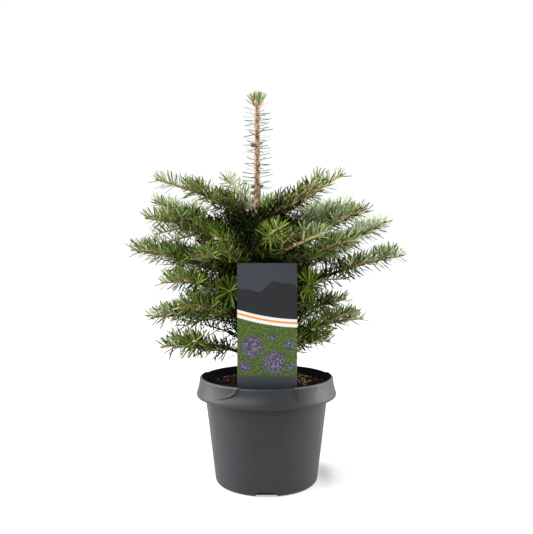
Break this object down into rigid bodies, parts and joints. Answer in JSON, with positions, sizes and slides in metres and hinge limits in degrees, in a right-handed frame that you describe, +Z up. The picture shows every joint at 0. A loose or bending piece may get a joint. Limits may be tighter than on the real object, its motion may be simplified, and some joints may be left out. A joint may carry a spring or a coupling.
{
  "type": "young korean fir in a nursery pot",
  "caption": "Young Korean fir in a round grey nursery pot: upright leader, whorls of short-needled boughs and a plain plant label.",
  "frame": {"origin": "middle of the pot's flat underside, where the plant stands", "axes": "+Z up along the pot's axis, -Y towards the side with the label, +X to the right of that side"},
  "size_m": [0.3816, 0.2741, 0.5275],
  "materials": {
    "needles": "satin",
    "bark": "matte",
    "pot_plastic": "satin",
    "peat": "matte",
    "label_card": "satin"
  },
  "bodies": {
    "root": {"bough_back_high": "bark", "bough_back_left": "bark", "bough_back_left_low": "bark", "bough_back_right": "bark", "bough_front_high": "bark", "bough_left_back": "bark", "bough_left_bottom": "bark", "bough_left_droop": "bark", "bough_left_long": "bark", "bough_left_low": "bark", "bough_left_mid": "bark", "bough_left_upper": "bark", "bough_right_far": "bark", "bough_right_high": "bark", "bough_right_long": "bark", "bough_right_low": "bark", "bough_right_low_back": "bark", "bough_right_mid": "bark", "bough_top_back_left": "bark", "bough_top_left": "bark", "bough_top_right": "bark", "bough_upper_right": "bark", "label": "label_card", "leader": "needles", "mass_back_high": "needles", "mass_back_left": "needles", "mass_back_left_low": "needles", "mass_back_low": "needles", "mass_back_right": "needles", "mass_front_high": "needles", "mass_front_inner": "needles", "mass_front_left": "needles", "mass_front_left_high": "needles", "mass_front_left_inner": "needles", "mass_front_low_inner": "needles", "mass_front_right": "needles", "mass_front_right_inner": "needles", "mass_left_back": "needles", "mass_left_bottom": "needles", "mass_left_droop": "needles", "mass_left_long": "needles", "mass_left_low": "needles", "mass_left_mid": "needles", "mass_left_upper": "needles", "mass_right_bottom": "needles", "mass_right_far": "needles", "mass_right_high": "needles", "mass_right_long": "needles", "mass_right_low": "needles", "mass_right_low_back": "needles", "mass_right_mid": "needles", "mass_top_back_left": "needles", "mass_top_back_right": "needles", "mass_top_left": "needles", "mass_top_right": "needles", "mass_upper_right": "needles", "pot": "pot_plastic", "soil": "peat", "trunk": "bark"}
  },
  "joints": []
}
